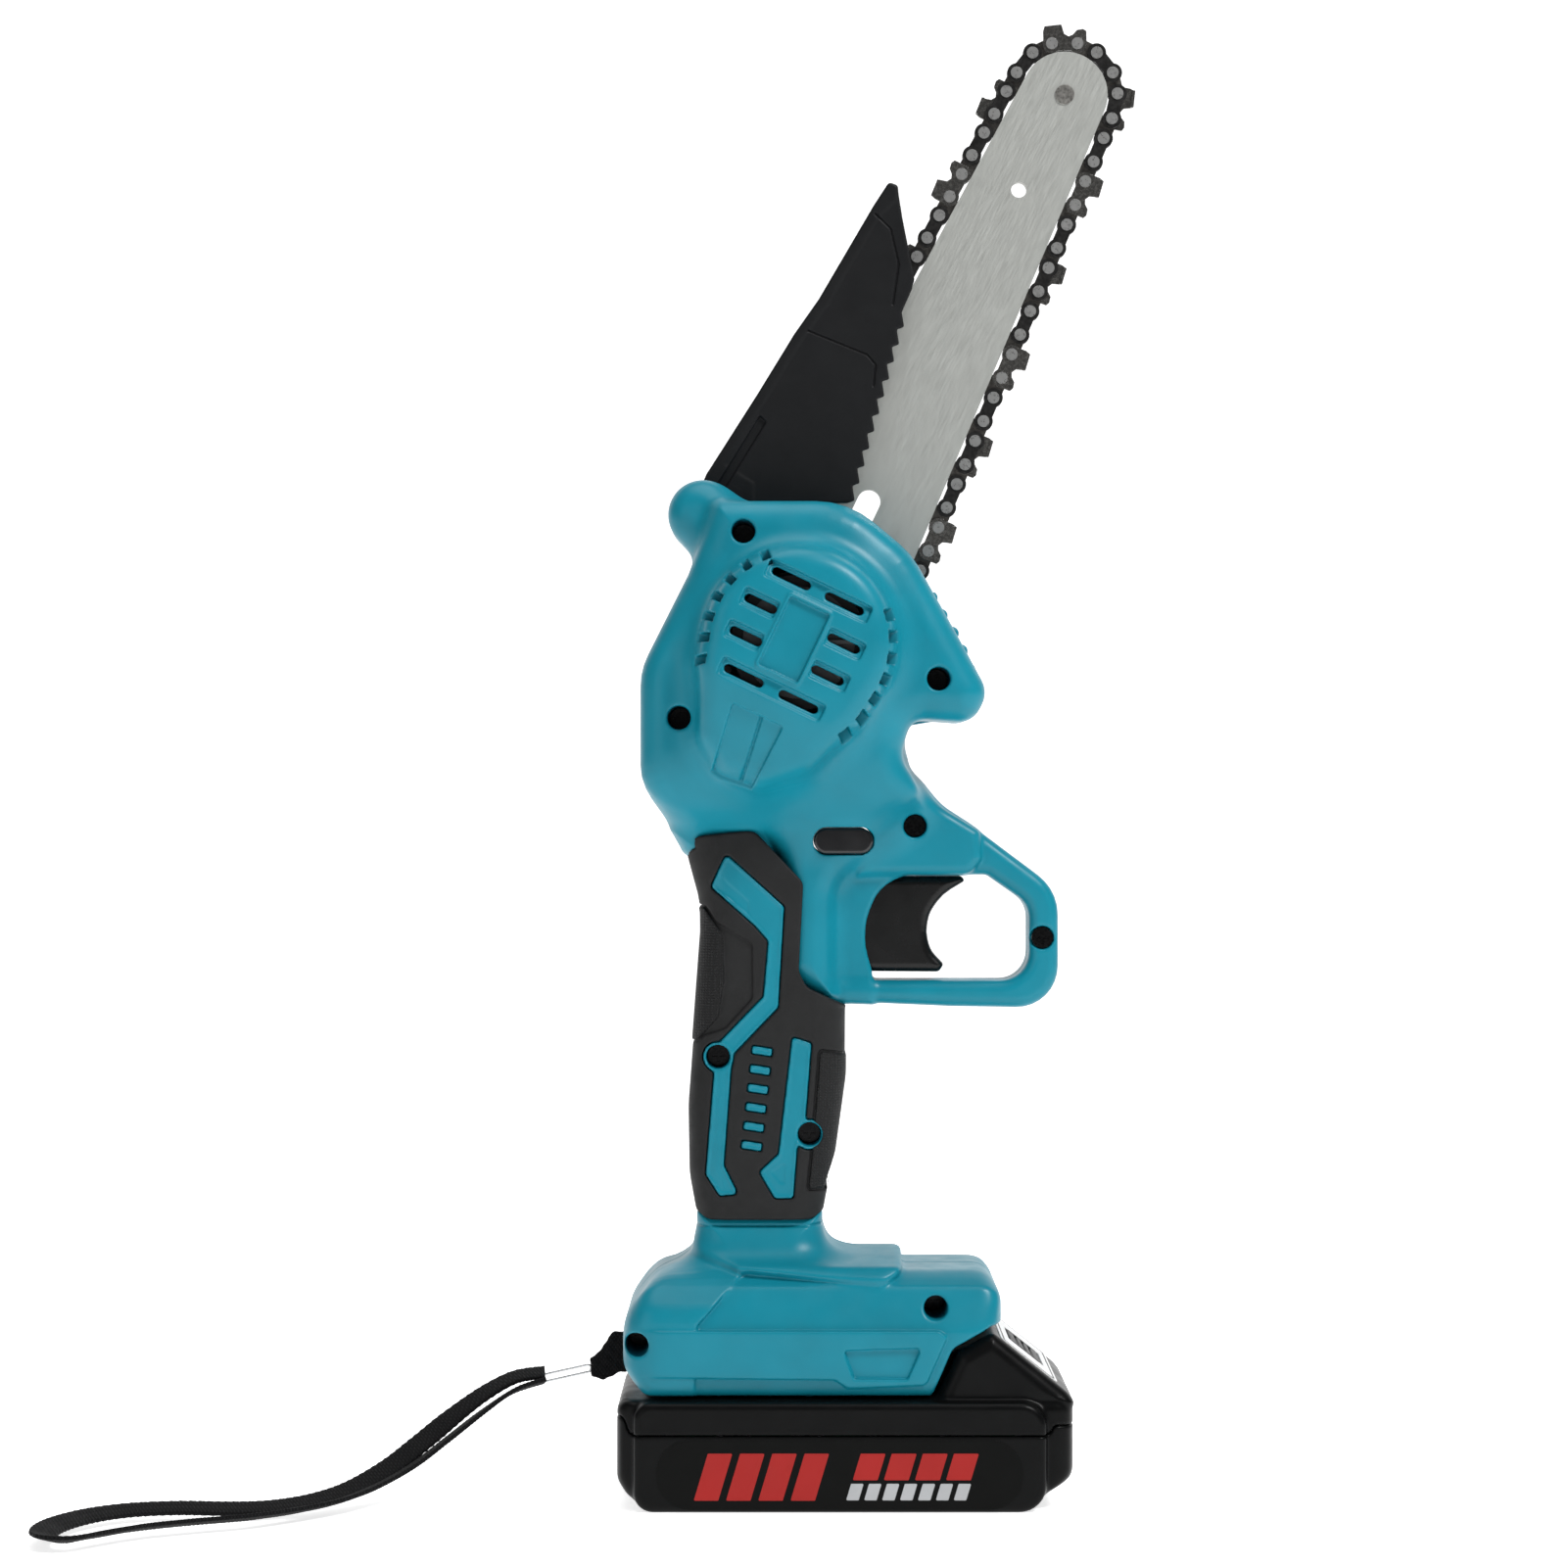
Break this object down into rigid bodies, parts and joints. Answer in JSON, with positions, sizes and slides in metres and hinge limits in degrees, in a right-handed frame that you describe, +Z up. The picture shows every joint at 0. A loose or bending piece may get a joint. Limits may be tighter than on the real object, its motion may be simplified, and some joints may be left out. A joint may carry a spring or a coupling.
{
  "type": "mini chainsaw",
  "caption": "One-hand cordless chainsaw with a slotted guide bar, saw chain, side trigger, swing-away blade guard, slide-on battery foot and wrist strap.",
  "frame": {"origin": "centre of the battery's flat base, which the saw stands on", "axes": "+Z up along the grip, +X towards the finger guard and the battery's release button, +Y towards the sprocket cover side"},
  "size_m": [0.2822, 0.1333, 0.3943],
  "materials": {
    "teal_housing": "fine-textured moulded nylon",
    "soft_grip": "matt overmoulded elastomer",
    "black_plastic": "satin moulded plastic",
    "battery_plastic": "fine-textured moulded plastic",
    "label": "printed film label",
    "screw_black": "black oxide steel",
    "zinc_steel": "bright zinc plated steel",
    "bar_steel": "ground and satin bar steel",
    "bar_core_steel": "plain ground steel",
    "chain_steel": "oiled chain steel",
    "chain_black": "blackened tie straps",
    "cutter_steel": "chromed cutters with a brown tint",
    "gear_steel": "sintered steel",
    "cast_alloy": "die cast",
    "motor_steel": "drawn motor can",
    "magnet": "sintered ferrite",
    "copper": "enamelled copper wire",
    "fan_plastic": "natural nylon",
    "contact_brass": "plated brass",
    "wire_red": "silicone insulation",
    "wire_black": "silicone insulation",
    "cell_wrap": "shrink sleeve",
    "circuit_board": "solder resist",
    "webbing": "woven nylon webbing"
  },
  "bodies": {
    "tool": {"left_housing": "teal_housing", "right_housing": "teal_housing", "grip_sleeve_left": "soft_grip", "grip_sleeve_right": "soft_grip", "housing_screws": "screw_black", "sprocket_cover": "teal_housing", "cover_nut": "zinc_steel", "bar_stud": "zinc_steel", "tension_pin": "zinc_steel", "tension_screw": "zinc_steel", "gearbox_plate": "cast_alloy", "motor_can": "motor_steel", "motor_magnets": "magnet", "motor_end_cap": "black_plastic", "spindle_bearings": "zinc_steel", "bar_plate_left": "bar_steel", "bar_core": "bar_core_steel", "bar_plate_right": "bar_steel", "nose_rivet": "bar_core_steel", "chain_drive_links": "chain_steel", "chain_links_engaged": "chain_steel", "chain_tie_straps": "chain_black", "chain_cutters_left": "cutter_steel", "chain_cutters_right": "cutter_steel", "chain_rivets": "zinc_steel", "trigger_spring": "zinc_steel", "switch_module": "black_plastic", "guard_pin": "zinc_steel", "guard_spring": "zinc_steel", "terminal_block": "black_plastic", "terminal_blades": "contact_brass", "lead_red": "wire_red", "lead_black": "wire_black", "strap_anchor": "webbing", "strap_link": "zinc_steel", "wrist_strap": "webbing"},
    "spindle": {"spindle": "zinc_steel", "spur_gear": "gear_steel", "drive_sprocket": "gear_steel", "sprocket_clip": "zinc_steel"},
    "rotor": {"armature_core": "bar_core_steel", "armature_windings": "copper", "commutator": "copper", "rotor_shaft": "zinc_steel", "cooling_fan": "fan_plastic", "pinion": "gear_steel"},
    "nose_wheel": {"nose_sprocket": "gear_steel"},
    "trigger": {"trigger": "black_plastic"},
    "lock_button": {"lock_button": "black_plastic"},
    "blade_guard": {"blade_guard": "black_plastic"},
    "battery": {"battery_case_top": "battery_plastic", "battery_case_bottom": "battery_plastic", "battery_cells": "cell_wrap", "battery_board": "circuit_board", "battery_label": "label", "battery_screws": "screw_black", "release_spring": "zinc_steel"},
    "release_button": {"release_button": "black_plastic"}
  },
  "joints": [
    {"name": "trigger_press", "type": "slide", "parent": "tool", "child": "trigger", "axis": [-1, 0, 0], "range_m": [0, 0.006], "stiffness_N_per_m": 600, "springref_m": -0.004, "deforming": ["trigger_spring"]},
    {"name": "lock_press", "type": "slide", "parent": "tool", "child": "lock_button", "axis": [0, 1, 0], "range_m": [0, 0.003], "stiffness_N_per_m": 400, "springref_m": -0.003},
    {"name": "guard_pivot", "type": "hinge", "parent": "tool", "child": "blade_guard", "pos_m": [-0.0374, 0.012, 0.2603], "axis": [0, -1, 0], "range_deg": [0, 55], "stiffness_Nm_per_rad": 0.25, "springref_deg": -28.65},
    {"name": "spindle_spin", "type": "hinge", "parent": "tool", "child": "spindle", "pos_m": [-0.02077, 0.012, 0.20758], "axis": [0, 1, 0], "continuous": true, "deforming": ["chain_links_engaged"]},
    {"name": "rotor_spin", "type": "hinge", "parent": "tool", "child": "rotor", "pos_m": [-0.0121, -0.02, 0.2256], "axis": [0, 1, 0], "continuous": true},
    {"name": "nose_spin", "type": "hinge", "parent": "tool", "child": "nose_wheel", "pos_m": [0.05997, 0.012, 0.37536], "axis": [0, 1, 0], "continuous": true},
    {"name": "battery_slide", "type": "slide", "parent": "tool", "child": "battery", "axis": [1, 0, 0], "range_m": [0, 0.085]},
    {"name": "release_press", "type": "slide", "parent": "battery", "child": "release_button", "axis": [-0.6198, 0, -0.7847], "range_m": [0, 0.003], "stiffness_N_per_m": 500, "springref_m": -0.003, "deforming": ["release_spring"]}
  ],
  "couplings": [
    {"joint": "rotor_spin", "follows": "spindle_spin", "ratio": -3.1667},
    {"joint": "nose_spin", "follows": "spindle_spin", "ratio": 0.85714}
  ]
}
